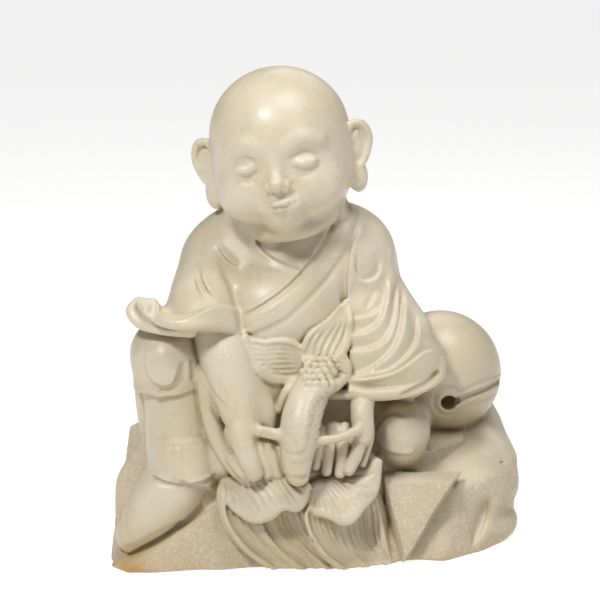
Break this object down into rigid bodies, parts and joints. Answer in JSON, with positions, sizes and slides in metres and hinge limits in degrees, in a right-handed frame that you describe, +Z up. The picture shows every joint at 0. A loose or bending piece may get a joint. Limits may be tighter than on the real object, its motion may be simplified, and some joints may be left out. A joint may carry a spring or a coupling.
{
  "type": "monk statue",
  "caption": "Seated young monk with a fish between the hands, on a rock with waves and a wooden drum, carved from one marble block.",
  "frame": {"origin": "middle of the base's footprint, on the flat underside that the statue stands on", "axes": "+Z up; +Y away from the viewer, towards the figure's back; +X to the viewer's right, the figure's left"},
  "size_m": [0.4125, 0.284, 0.4772],
  "materials": {
    "marble": null
  },
  "bodies": {
    "root": {"monk_statue": "marble"}
  },
  "joints": []
}
